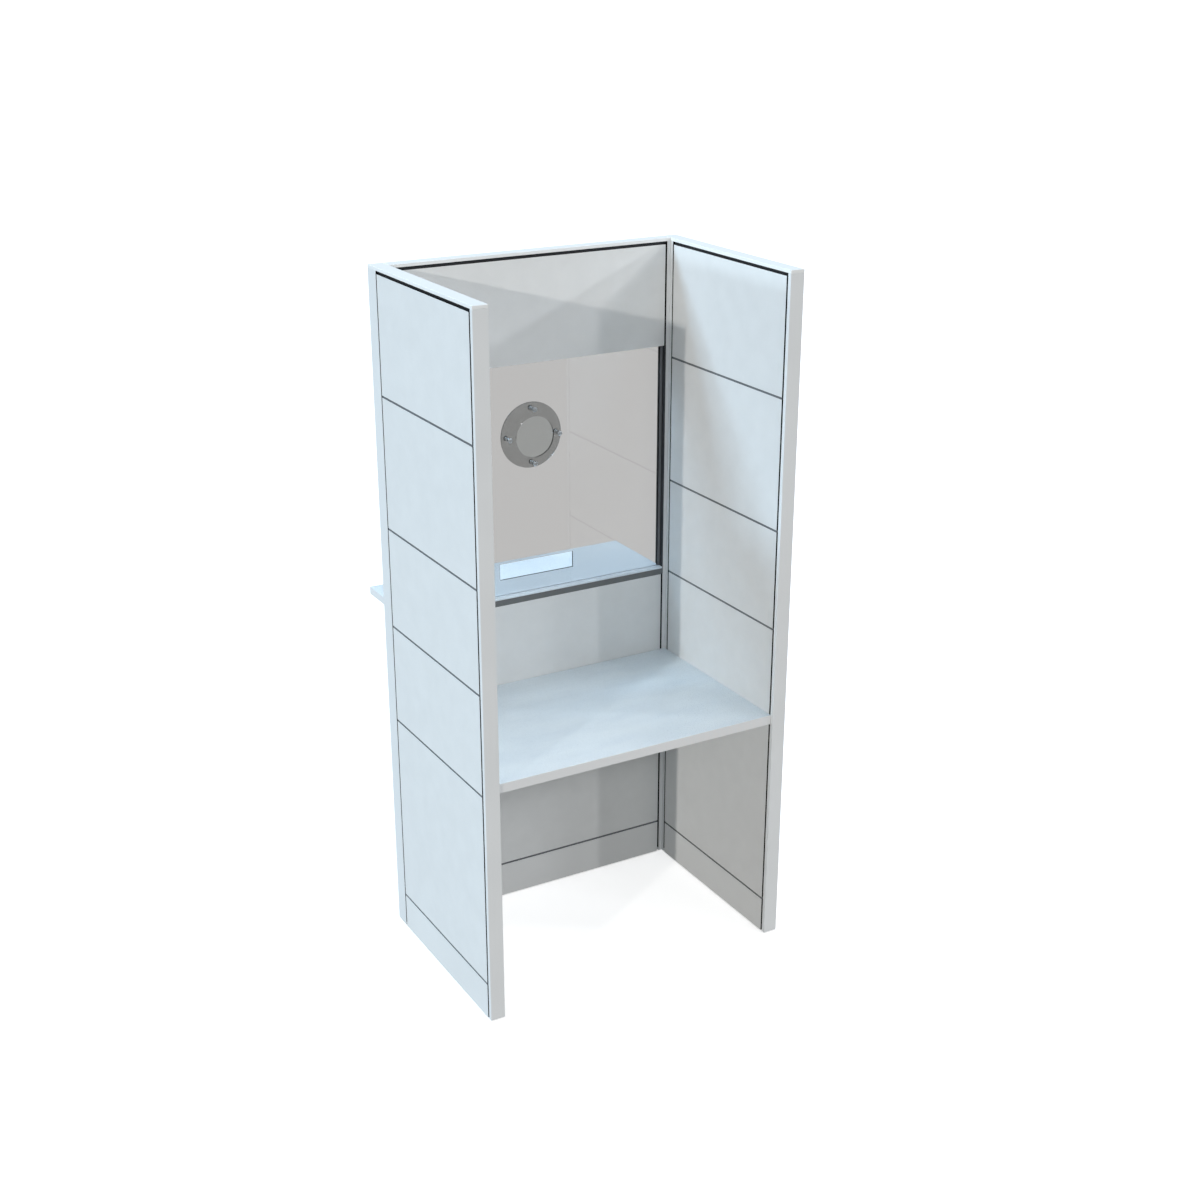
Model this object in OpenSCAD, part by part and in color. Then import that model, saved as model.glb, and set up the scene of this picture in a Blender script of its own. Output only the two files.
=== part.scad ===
// Service booth: two wing walls and a glazed back wall of hang-on tiles,
// with a worksurface inside and a transaction counter through the back wall.
// +X to the right and +Y out through the window, seen from inside the booth.
// The origin is at floor level, at the middle of the footprint.

/* [Booth] */
// Overall width, over the outer faces of both wings
booth_w = 1028; // [860:1:1300]
// Depth of a wing wall, corner post included
wing_depth = 676; // [560:1:900]
// Overall height from the floor
booth_h = 2134; // [2060:1:2600]
// Thickness of every wall
wall_t = 46; // [42:1:60]

/* [Tiles] */
// Height of the seam above the base covers
base_seam_z = 121; // [100:1:150]
// Height of the first tile, up to just under the worksurface
lower_tile_h = 620; // [500:1:660]
// Height of the second tile
second_tile_h = 312; // [200:1:400]
// Height of the third tile
third_tile_h = 311; // [200:1:400]
// Height of the fourth tile; the fifth fills what is left
fourth_tile_h = 401; // [250:1:450]
// Thickness of a hang-on tile
tile_t = 9; // [7:0.5:12]
// Gap between two tiles, one above the other
seam_gap = 6.5; // [3:0.5:8]
// Dark upright gap between a tile and the light edge beside it
side_reveal = 6.5; // [5:0.5:10]
// Dark gap between the top tile and the cap
top_reveal = 9; // [6:0.5:14]

/* [Frames and trims] */
// Width of a frame upright
stile_w = 30; // [24:1:40]
// Height of a frame cross rail
rail_h = 30; // [22:1:36]
// Wall of the folded steel in the frames
frame_wall = 2; // [1.5:0.1:3]
// Depth of the end trim that closes the front of a wing
end_trim_d = 14; // [10:0.5:24]
// Width of the light edge strip beside a corner post
edge_trim_w = 12; // [9:0.5:20]
// Wall of the extruded trims, posts and caps
trim_wall = 2; // [1.5:0.1:3]
// Height of the top cap's side
cap_h = 10; // [8:0.5:16]
// Thickness of the top cap's roof
cap_roof_t = 2.5; // [2:0.1:4]
// Gap between the floor and the trims, posts and base covers
floor_gap = 3; // [2:0.5:6]
// Thickness of a base cover's face
cover_t = 2; // [1.5:0.1:3]

/* [Worksurface] */
// Height of the worksurface's top
worksurface_top_z = 773; // [720:1:800]
// Thickness of the worksurface
worksurface_t = 29; // [22:1:34]
// Distance from the front of the wings back to the worksurface's front edge
worksurface_setback = 9; // [4:1:80]
// Reach of a bracket under the worksurface
worksurface_arm = 440; // [300:1:460]

/* [Transaction counter] */
// Height of the counter's top
counter_top_z = 1065; // [1050:1:1100]
// Thickness of the counter
counter_t = 25; // [20:1:30]
// How far the counter stands out beyond the back wall
counter_overhang = 259; // [180:1:380]
// Thickness of the dark edging on the counter's inner edge
edging_t = 2; // [1:0.5:3]
// Reach of a bracket under the counter, beyond the frame
counter_arm = 130; // [120:1:200]

/* [Window] */
// Height of the header's lower edge
header_z = 1801; // [1740:1:1840]
// Thickness of the glass
glass_t = 6; // [5:0.5:8]
// Depth of the glazing channels at the window's sides and head
channel_d = 8; // [6:0.5:12]
// Width of the glazing channels, over both lips
channel_w = 14; // [12:0.5:20]
// Wall of the glazing channels
channel_wall = 1.5; // [1:0.1:2]
// Width of the pass-through slot in the glass
slot_w = 260; // [180:1:400]
// Height of the pass-through slot
slot_h = 53; // [40:1:90]
// Distance from the counter's top up to the slot
slot_sill = 52; // [30:1:80]

/* [Speak-through] */
// Height of the speak-through's centre
speak_z = 1564; // [1500:1:1600]
// Radius of the hole in the glass
speak_hole_r = 65; // [50:1:72]
// Radius of the disc in front of the hole
speak_disc_r = 104; // [96:1:120]
// Thickness of the disc
speak_disc_t = 5; // [4:0.5:8]
// Distance from the glass to the disc
speak_standoff = 22; // [15:1:30]
// Radius of the circle that the four standoffs stand on
speak_bolt_circle_r = 86; // [82:1:88]
// Radius of a standoff's barrel
standoff_r = 7; // [6:0.5:8]
// Radius of a bolt's shank
speak_bolt_r = 4; // [3:0.1:5]
// Radius of a bolt's domed head
speak_head_r = 8; // [7:0.5:9]

/* [Levelling glides] */
// Height of a glide's foot
glide_foot_h = 7; // [5:0.5:9]
// Radius of a glide's threaded stem
glide_stem_r = 5; // [4:0.1:6]
// Height of a glide's top above the floor
glide_top_z = 62; // [50:1:80]
// Height of the frames' lower end above the floor
frame_foot_z = 14; // [12:1:20]
// Depth of the threaded block in an upright's lower end
glide_block_h = 24; // [16:1:30]

/* [Fits] */
// Clearance at each end of the worksurface and of the counter
surface_clear = 0.5; // [0.3:0.1:1.5]
// Clearance between a glide's foot and the trims on either side
foot_clear = 1; // [0.5:0.5:3]
// Running clearance, on the radius, of a glide's stem
stem_clear = 0.05; // [0.02:0.01:0.1]
// Clearance, on the radius, around bolts and screws
bolt_clear = 0.2; // [0.1:0.05:0.4]
// Clearance at the edges of the glass
glass_clear = 1; // [0.5:0.5:2]
// Gap at the butt joints between the jamb channels and the head channel
channel_joint_gap = 0.3; // [0.2:0.1:0.5]

/* [Hidden] */
$fn = 64;
EPS = 0.01;
GLIDE_NAMES = [
    "left_front_glide", "left_rear_glide", "right_front_glide",
    "right_rear_glide", "back_left_glide", "back_right_glide"
];

// Places along X
outer_x = booth_w / 2;
inner_x = outer_x - wall_t;
wing_mid_x = outer_x - wall_t / 2;
back_stile_x = inner_x - edge_trim_w;
back_tile_x = back_stile_x - side_reveal;
JAMB_T = 2;
window_x = back_stile_x - JAMB_T;

// Places along Y
back_y = (wing_depth - counter_overhang) / 2;
front_y = back_y - wing_depth;
room_y = back_y - wall_t;
back_mid_y = back_y - wall_t / 2;
wing_stile_y = [front_y + end_trim_d, room_y - edge_trim_w];
wing_tile_y = [wing_stile_y[0] + side_reveal, wing_stile_y[1] - side_reveal];
counter_far_y = back_y + counter_overhang;

// Heights
frame_t = wall_t - 2 * tile_t;
cap_under_z = booth_h - cap_h;
stile_top_z = booth_h - cap_roof_t;
tile_top_z = cap_under_z - top_reveal;
seam_2_z = base_seam_z + lower_tile_h;
seam_3_z = seam_2_z + second_tile_h;
seam_4_z = seam_3_z + third_tile_h;
seam_5_z = seam_4_z + fourth_tile_h;
TILE_BOTTOMS = [base_seam_z, seam_2_z, seam_3_z, seam_4_z, seam_5_z];
worksurface_under_z = worksurface_top_z - worksurface_t;
counter_under_z = counter_top_z - counter_t;
top_rail_z = stile_top_z - rail_h;
header_rail_z = header_z + channel_w;

// Glides
glide_foot_r = stile_w / 2 - foot_clear;

// Brackets
BRACKET_T = 3;
BRACKET_ROOT_H = 110;
COUNTER_ROOT_H = 90;
BRACKET_TIP_H = 26;
BRACKET_FLANGE_W = 30;
SCREW_R = 2.1;
SCREW_HEAD_R = 4.2;
SCREW_HEAD_H = 2.4;
SCREW_BITE = 15;
SCREW_INSET = 60;

// Glass
glass_x = window_x - channel_wall - glass_clear;
glass_bottom_z = counter_top_z;
glass_top_z = header_z + channel_w - channel_wall - glass_clear;
glass_room_y = back_mid_y - glass_t / 2;
glass_public_y = back_mid_y + glass_t / 2;
slot_z = counter_top_z + slot_sill;

// Base covers: lips and ribs behind the thin face
COVER_LIP_H = 3;
COVER_RIB_W = 6;

// ---------- shared shapes ----------

// A box from its low corner to its high corner
module span_box(low, high) {
    translate(low) cube(high - low);
}

// An upright tube, open at both ends
module upright_tube(low, high, wall) {
    difference() {
        span_box(low, high);
        span_box(low + [wall, wall, -EPS], high - [wall, wall, -EPS]);
    }
}

// A folded channel rail, open below; along = 0 runs in X, along = 1 in Y
module channel_rail(low, high, along) {
    side = along == 0 ? [0, frame_wall, 0] : [frame_wall, 0, 0];
    ends = along == 0 ? [EPS, 0, 0] : [0, EPS, 0];
    difference() {
        span_box(low, high);
        span_box(low + side - ends - [0, 0, EPS],
                 high - side + ends - [0, 0, frame_wall]);
    }
}

// The threaded block in an upright's lower end, with the glide's bore
module glide_block(low, high) {
    span_box(low, [high[0], high[1], low[2] + glide_block_h]);
}

module glide_bore(center) {
    translate([center[0], center[1], frame_foot_z - 1])
        cylinder(r = glide_stem_r + stem_clear, h = glide_block_h + 2);
}

// ---------- wing walls: drawn for the right, side = -1 mirrors it ----------

module on_side(side) {
    if (side < 0) mirror([1, 0, 0]) children();
    else children();
}

function wing_glide_y(which) =
    which == 0 ? wing_stile_y[0] + stile_w / 2 : wing_stile_y[1] - stile_w / 2;

module wing_stile(y_low) {
    low = [wing_mid_x - frame_t / 2, y_low, frame_foot_z];
    high = [wing_mid_x + frame_t / 2, y_low + stile_w, stile_top_z];
    upright_tube(low, high, frame_wall);
    glide_block(low, high);
}

module wing_rail(z_low) {
    channel_rail([wing_mid_x - frame_t / 2, wing_stile_y[0] + stile_w, z_low],
                 [wing_mid_x + frame_t / 2, wing_stile_y[1] - stile_w, z_low + rail_h], 1);
}

module wing_frame(side) {
    color("dimgray") on_side(side) difference() {
        union() {
            wing_stile(wing_stile_y[0]);
            wing_stile(wing_stile_y[1] - stile_w);
            for (seam_z = TILE_BOTTOMS) wing_rail(seam_z - rail_h / 2);
            wing_rail(top_rail_z);
        }
        for (which = [0, 1]) glide_bore([wing_mid_x, wing_glide_y(which)]);
    }
}

module corner_post(side) {
    color("gainsboro") on_side(side)
        upright_tube([inner_x, room_y, floor_gap], [outer_x, back_y, cap_under_z], trim_wall);
}

module end_trim(side) {
    color("gainsboro") on_side(side)
        upright_tube([inner_x, front_y, floor_gap],
                     [outer_x, wing_stile_y[0], cap_under_z], trim_wall);
}

module panel_edge_trims() {
    color("gainsboro") for (side = [-1, 1]) on_side(side) {
        upright_tube([inner_x, wing_stile_y[1], floor_gap],
                     [outer_x, room_y, cap_under_z], trim_wall);
        upright_tube([back_stile_x, room_y, floor_gap],
                     [inner_x, back_y, cap_under_z], trim_wall);
    }
}

module top_cap(low, high) {
    color("whitesmoke") difference() {
        span_box(low, high);
        span_box([low[0] + trim_wall, low[1] + trim_wall, low[2] - 1],
                 [high[0] - trim_wall, high[1] - trim_wall, high[2] - cap_roof_t]);
    }
}

module wing_top_cap(side) {
    on_side(side) top_cap([inner_x, front_y, cap_under_z], [outer_x, back_y, booth_h]);
}

module back_top_cap() {
    top_cap([-inner_x, room_y, cap_under_z], [inner_x, back_y, booth_h]);
}

// Tiles: face = "outer" or "inner", row = 0 at the bottom
function row_bottom(row) = TILE_BOTTOMS[row] + seam_gap / 2;
function row_top(row) =
    row == len(TILE_BOTTOMS) - 1 ? tile_top_z : TILE_BOTTOMS[row + 1] - seam_gap / 2;
function face_x(face) = face == "outer" ? outer_x - tile_t : inner_x;

module wing_tile(side, face, row) {
    color("aliceblue") on_side(side)
        span_box([face_x(face), wing_tile_y[0], row_bottom(row)],
                 [face_x(face) + tile_t, wing_tile_y[1], row_top(row)]);
}

// A base cover, drawn along X with its face at y = 0 and its back towards +Y:
// a thin face, a lip along its top and an upright clip rib near each end
module base_cover_shape(length) {
    top_z = base_seam_z - seam_gap / 2;
    span_box([0, 0, floor_gap], [length, cover_t, top_z]);
    span_box([0, 0, top_z - COVER_LIP_H], [length, tile_t, top_z]);
    for (x = [0, length - COVER_RIB_W])
        span_box([x, 0, frame_foot_z + glide_block_h], [x + COVER_RIB_W, tile_t, top_z]);
}

module wing_base_cover(side, face) {
    length = wing_tile_y[1] - wing_tile_y[0];
    color("aliceblue") on_side(side)
        if (face == "outer")
            translate([outer_x, wing_tile_y[0], 0]) rotate(90) base_cover_shape(length);
        else
            translate([inner_x, wing_tile_y[1], 0]) rotate(-90) base_cover_shape(length);
}

// ---------- back wall ----------

module back_stile(z_low, z_high) {
    upright_tube([back_stile_x - stile_w, back_mid_y - frame_t / 2, z_low],
                 [back_stile_x, back_mid_y + frame_t / 2, z_high], frame_wall);
}

// The flat steel jambs at the window, and their ends behind the header
module window_jamb() {
    span_box([window_x, room_y, counter_under_z - EPS], [back_stile_x, back_y, header_z]);
    span_box([window_x, back_mid_y - frame_t / 2, header_z - EPS],
             [back_stile_x, back_mid_y + frame_t / 2, header_rail_z + EPS]);
}

module back_rail(z_low) {
    half = back_stile_x - stile_w;
    channel_rail([-half, back_mid_y - frame_t / 2, z_low],
                 [half, back_mid_y + frame_t / 2, z_low + rail_h], 0);
}

module back_frame() {
    counter_rail_z = counter_under_z - rail_h;
    color("dimgray") difference() {
        union() {
            for (side = [-1, 1]) on_side(side) {
                back_stile(frame_foot_z, counter_under_z);
                back_stile(header_rail_z, stile_top_z);
                glide_block([back_stile_x - stile_w, back_mid_y - frame_t / 2, frame_foot_z],
                            [back_stile_x, back_mid_y + frame_t / 2, frame_foot_z]);
                window_jamb();
            }
            for (z = [base_seam_z, seam_2_z]) back_rail(z - rail_h / 2);
            back_rail(counter_rail_z);
            back_rail(header_rail_z);
            back_rail(top_rail_z);
        }
        for (side = [-1, 1]) glide_bore([side * (back_stile_x - stile_w / 2), back_mid_y]);
    }
}

// side = -1 is the room face, side = 1 the public face
module back_tile(side, z_low, z_high) {
    face_y = side < 0 ? room_y : back_y - tile_t;
    color("lightgray") span_box([-back_tile_x, face_y, z_low],
                                [back_tile_x, face_y + tile_t, z_high]);
}

module back_lower_tile(side) {
    back_tile(side, base_seam_z + seam_gap / 2, seam_2_z - seam_gap / 2);
}

module back_middle_tile(side) {
    back_tile(side, seam_2_z + seam_gap / 2, counter_under_z - surface_clear);
}

module back_header(side) {
    back_tile(side, header_z, tile_top_z);
}

module back_base_cover(side) {
    color("lightgray")
        if (side < 0)
            translate([-back_tile_x, room_y, 0]) base_cover_shape(2 * back_tile_x);
        else
            translate([back_tile_x, back_y, 0]) rotate(180) base_cover_shape(2 * back_tile_x);
}

// ---------- worksurface and counter ----------

bracket_x = back_stile_x - side_reveal / 2;
screw_x = bracket_x - BRACKET_T / 2 - BRACKET_FLANGE_W / 2;

// Screw places along an arm, measured from the frame's face
function arm_screws(arm) = [SCREW_INSET, arm - SCREW_INSET / 2];

// Screw holes from underneath; toward = -1 reaches into the room
module screw_holes(arm, toward, under_z, radius, depth) {
    for (side = [-1, 1], reach = arm_screws(arm))
        translate([side * screw_x, back_mid_y + toward * (frame_t / 2 + reach), under_z - depth[0]])
            cylinder(r = radius, h = depth[0] + depth[1]);
}

// Cantilever bracket: a tapered plate in the side reveal, with a flange on top
module bracket_pair(arm, root_h, toward, under_z) {
    flange_start = tile_t + 1;
    color("silver") difference() {
        for (side = [-1, 1]) on_side(side)
            translate([bracket_x, back_mid_y + toward * frame_t / 2, under_z]) {
                translate([-BRACKET_T / 2, 0, 0]) rotate([90, 0, 90]) linear_extrude(BRACKET_T)
                    polygon([[0, 0], [0, -root_h],
                             [toward * arm, -BRACKET_TIP_H], [toward * arm, 0]]);
                translate([-BRACKET_T / 2 - BRACKET_FLANGE_W,
                           toward < 0 ? -arm : flange_start, -BRACKET_T])
                    cube([BRACKET_FLANGE_W + BRACKET_T, arm - flange_start, BRACKET_T]);
            }
        screw_holes(arm, toward, under_z, SCREW_R + bolt_clear, [BRACKET_T + 1, 1]);
    }
}

module worksurface_brackets() {
    bracket_pair(worksurface_arm, BRACKET_ROOT_H, -1, worksurface_under_z);
}

module counter_brackets() {
    bracket_pair(counter_arm, COUNTER_ROOT_H, 1, counter_under_z);
}

module worksurface() {
    half = inner_x - surface_clear;
    color("lavender") difference() {
        span_box([-half, front_y + worksurface_setback, worksurface_under_z],
                 [half, room_y - surface_clear, worksurface_top_z]);
        screw_holes(worksurface_arm, -1, worksurface_under_z, SCREW_R + bolt_clear / 2,
                    [1, SCREW_BITE + 1]);
    }
}

counter_half = window_x - surface_clear;

module transaction_counter() {
    color("lavender") difference() {
        span_box([-counter_half, room_y + edging_t, counter_under_z],
                 [counter_half, counter_far_y, counter_top_z]);
        screw_holes(counter_arm, 1, counter_under_z, SCREW_R + bolt_clear / 2,
                    [1, SCREW_BITE + 1]);
    }
}

module counter_edging() {
    color("dimgray") span_box([-counter_half, room_y, counter_under_z],
                              [counter_half, room_y + edging_t, counter_top_z]);
}

module screw_set(arm, toward, under_z) {
    for (side = [-1, 1], reach = arm_screws(arm))
        translate([side * screw_x, back_mid_y + toward * (frame_t / 2 + reach),
                   under_z - BRACKET_T - SCREW_HEAD_H]) {
            cylinder(r = SCREW_HEAD_R, h = SCREW_HEAD_H);
            cylinder(r = SCREW_R, h = SCREW_HEAD_H + BRACKET_T + SCREW_BITE);
        }
}

module surface_screws() {
    color("silver") {
        screw_set(worksurface_arm, -1, worksurface_under_z);
        screw_set(counter_arm, 1, counter_under_z);
    }
}

// ---------- window ----------

// The four standoff places; children point along +Y from y = 0
module at_standoffs() {
    for (turn = [0:90:270])
        translate([0, 0, speak_z]) rotate([0, turn, 0])
            translate([speak_bolt_circle_r, 0, 0]) rotate([-90, 0, 0]) children();
}

module glass_pane() {
    color("lightblue", 0.5) difference() {
        span_box([-glass_x, glass_room_y, glass_bottom_z], [glass_x, glass_public_y, glass_top_z]);
        span_box([-slot_w / 2, glass_room_y - 1, slot_z],
                 [slot_w / 2, glass_public_y + 1, slot_z + slot_h]);
        translate([0, glass_room_y - 1, speak_z]) rotate([-90, 0, 0])
            cylinder(r = speak_hole_r, h = glass_t + 2);
        translate([0, glass_room_y - 1, 0]) at_standoffs()
            cylinder(r = speak_bolt_r + bolt_clear, h = glass_t + 2);
    }
}

// A glazing channel along Z, open towards -X, with its back at x = 0
module glazing_channel(length, depth) {
    difference() {
        translate([-depth, -channel_w / 2, 0]) cube([depth, channel_w, length]);
        translate([-depth - 1, -channel_w / 2 + channel_wall, -1])
            cube([depth + 1 - channel_wall, channel_w - 2 * channel_wall, length + 2]);
    }
}

module glazing_frame() {
    color("dimgray") {
        for (side = [-1, 1]) on_side(side)
            translate([window_x, back_mid_y, counter_top_z])
                glazing_channel(header_z - counter_top_z - channel_joint_gap, channel_d);
        translate([window_x, back_mid_y, header_rail_z]) rotate([0, -90, 0])
            glazing_channel(2 * window_x, channel_w);
    }
}

module speak_disc() {
    color("lightgray", 0.6) difference() {
        translate([0, glass_public_y + speak_standoff, speak_z]) rotate([-90, 0, 0])
            cylinder(r = speak_disc_r, h = speak_disc_t);
        translate([0, glass_public_y + speak_standoff - 1, 0]) at_standoffs()
            cylinder(r = speak_bolt_r + bolt_clear, h = speak_disc_t + 2);
    }
}

module speak_standoffs() {
    color("silver") translate([0, glass_public_y, 0]) at_standoffs() difference() {
        cylinder(r = standoff_r, h = speak_standoff);
        translate([0, 0, -1]) cylinder(r = speak_bolt_r + bolt_clear, h = speak_standoff + 2);
    }
}

// A bolt with a domed head at each end
module speak_bolts() {
    head_h = 4;
    grip = glass_t + speak_standoff + speak_disc_t;
    color("silver") translate([0, glass_room_y, 0]) at_standoffs() rotate_extrude()
        polygon(concat(
            [[0, -head_h]],
            [for (a = [75:-15:0]) [speak_head_r * cos(a), -head_h * sin(a)]],
            [[speak_bolt_r, 0], [speak_bolt_r, grip]],
            [for (a = [0:15:75]) [speak_head_r * cos(a), grip + head_h * sin(a)]],
            [[0, grip + head_h]]));
}

// ---------- levelling glides ----------

function glide_place(name) =
    name == "left_front_glide" ? [-wing_mid_x, wing_glide_y(0)]
  : name == "left_rear_glide" ? [-wing_mid_x, wing_glide_y(1)]
  : name == "right_front_glide" ? [wing_mid_x, wing_glide_y(0)]
  : name == "right_rear_glide" ? [wing_mid_x, wing_glide_y(1)]
  : name == "back_left_glide" ? [-(back_stile_x - stile_w / 2), back_mid_y]
  : [back_stile_x - stile_w / 2, back_mid_y];

module glide(name) {
    chamfer = 1.5;
    color("darkgray") translate(concat(glide_place(name), [0])) rotate_extrude()
        polygon([[0, 0], [glide_foot_r - chamfer, 0], [glide_foot_r, chamfer],
                 [glide_foot_r, glide_foot_h - chamfer], [glide_foot_r - chamfer, glide_foot_h],
                 [glide_stem_r, glide_foot_h], [glide_stem_r, glide_top_z - 1],
                 [glide_stem_r - 1, glide_top_z], [0, glide_top_z]]);
}

// ---------- nodes ----------

wing_frame(-1);  // left_wing_frame
wing_frame(1);  // right_wing_frame
back_frame();
corner_post(-1);  // left_corner_post
corner_post(1);  // right_corner_post
end_trim(-1);  // left_end_trim
end_trim(1);  // right_end_trim
panel_edge_trims();
wing_top_cap(-1);  // left_top_cap
wing_top_cap(1);  // right_top_cap
back_top_cap();
for (row = [0:4]) {
    wing_tile(-1, "outer", row);
    wing_tile(-1, "inner", row);
    wing_tile(1, "inner", row);
    wing_tile(1, "outer", row);
}
wing_base_cover(-1, "outer");  // left_outer_base_cover
wing_base_cover(-1, "inner");  // left_inner_base_cover
wing_base_cover(1, "inner");  // right_inner_base_cover
wing_base_cover(1, "outer");  // right_outer_base_cover
back_base_cover(-1);  // back_room_base_cover
back_base_cover(1);  // back_public_base_cover
back_lower_tile(-1);  // back_room_tile_1
back_middle_tile(-1);  // back_room_tile_2
back_header(-1);  // back_room_header
back_lower_tile(1);  // back_public_tile_1
back_middle_tile(1);  // back_public_tile_2
back_header(1);  // back_public_header
worksurface();
worksurface_brackets();
transaction_counter();
counter_edging();
counter_brackets();
surface_screws();
glass_pane();
glazing_frame();
speak_disc();
speak_standoffs();
speak_bolts();
for (name = GLIDE_NAMES)
    glide(name);
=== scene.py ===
"""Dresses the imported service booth: tiled walls, boards, window and feet.

All measures are in metres, in the CAD frame.
"""

import logging
import math
from collections.abc import Callable, Iterable, Sequence
from dataclasses import dataclass, field
from enum import Enum

import bmesh
import bpy
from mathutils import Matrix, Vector


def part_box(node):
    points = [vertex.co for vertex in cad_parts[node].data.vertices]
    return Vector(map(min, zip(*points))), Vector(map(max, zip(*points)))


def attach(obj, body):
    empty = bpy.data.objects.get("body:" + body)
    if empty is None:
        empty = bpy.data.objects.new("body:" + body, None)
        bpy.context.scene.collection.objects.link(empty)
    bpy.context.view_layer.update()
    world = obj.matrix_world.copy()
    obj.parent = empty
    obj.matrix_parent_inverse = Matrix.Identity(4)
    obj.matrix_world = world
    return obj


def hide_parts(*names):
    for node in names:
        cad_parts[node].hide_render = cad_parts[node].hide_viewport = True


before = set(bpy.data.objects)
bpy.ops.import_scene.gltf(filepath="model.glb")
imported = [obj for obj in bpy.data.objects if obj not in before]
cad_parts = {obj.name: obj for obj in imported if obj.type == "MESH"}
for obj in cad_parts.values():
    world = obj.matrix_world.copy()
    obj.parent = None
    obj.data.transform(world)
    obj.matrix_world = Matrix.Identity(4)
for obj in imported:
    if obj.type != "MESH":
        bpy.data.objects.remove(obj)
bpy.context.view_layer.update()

MM = 0.001
BOOTH = "booth"
# Points of a mesh that are nearer to each other than this are one point.
MERGE_DISTANCE = 0.01 * MM
# How far a cutting tool stands out of the face that it goes into.
TOOL_PROUD = 1 * MM
# A face looks along a direction when the cosine between the two is over the first of these, and
# stands square to it when that is under the second.
FACING_COSINE = 0.99
SQUARE_COSINE = 0.1
# Edges sharper than the first angle are rounded; those blunter than the second are shaded smooth.
SHARP_DEG = 40
SMOOTH_DEG = 32
# How much more the large faces count than the small ones where a round meets a flat.
FLAT_WEIGHT = 80
# Nearly all the values of a noise pattern lie between these.
NOISE_LOW, NOISE_HIGH = 0.3, 0.7
# The collections of a mesh in edit mode, by the select mode's name.
ELEMENTS = {"FACE": "faces", "EDGE": "edges", "VERT": "verts"}

log = logging.getLogger(BOOTH)

Point = Sequence[float]
Box = tuple[Vector, Vector]
Element = bmesh.types.BMFace | bmesh.types.BMEdge | bmesh.types.BMVert


class Axis(Enum):
    """The three axes of the booth's frame, as unit vectors."""

    X = (1.0, 0.0, 0.0)
    Y = (0.0, 1.0, 0.0)
    Z = (0.0, 0.0, 1.0)

    @property
    def index(self) -> int:
        """The axis's place in a point."""
        return self.value.index(1.0)

    @property
    def vector(self) -> Vector:
        """The axis as a vector."""
        return Vector(self.value)


class Face(Enum):
    """The way that a skin or a cover looks, away from its wall's frame."""

    LEFT = (-1.0, 0.0, 0.0)
    RIGHT = (1.0, 0.0, 0.0)
    ROOM = (0.0, -1.0, 0.0)
    PUBLIC = (0.0, 1.0, 0.0)

    @property
    def outward(self) -> Vector:
        """The outward direction as a vector."""
        return Vector(self.value)


# ---------------------------------------------------------------- materials


def linear(hex_colour: str) -> tuple[float, float, float, float]:
    """Turns an sRGB hex colour to linear RGBA.

    Args:
        hex_colour: Six hex digits after a hash sign.

    Returns:
        The linear red, green and blue, and an alpha of 1.
    """
    parts = [int(hex_colour[i : i + 2], 16) / 255 for i in (1, 3, 5)]
    turned = [c / 12.92 if c <= 0.04045 else ((c + 0.055) / 1.055) ** 2.4 for c in parts]
    return (*turned, 1.0)


def add_node(
    tree: bpy.types.NodeTree,
    kind: str,
    settings: dict | None = None,
    links: dict | None = None,
) -> bpy.types.Node:
    """Adds a node, with its settings and its incoming links.

    Args:
        tree: The node tree to add to.
        kind: The node's type name in Blender.
        settings: Properties of the node, or values of its inputs, by name or number.
        links: Output sockets to link, by the name or number of the input they go to.

    Returns:
        The new node.
    """
    node = tree.nodes.new(kind)
    for name, value in (settings or {}).items():
        if isinstance(name, str) and hasattr(node, name):
            setattr(node, name, value)
        else:
            node.inputs[name].default_value = value
    for name, socket in (links or {}).items():
        tree.links.new(socket, node.inputs[name])
    return node


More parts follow.
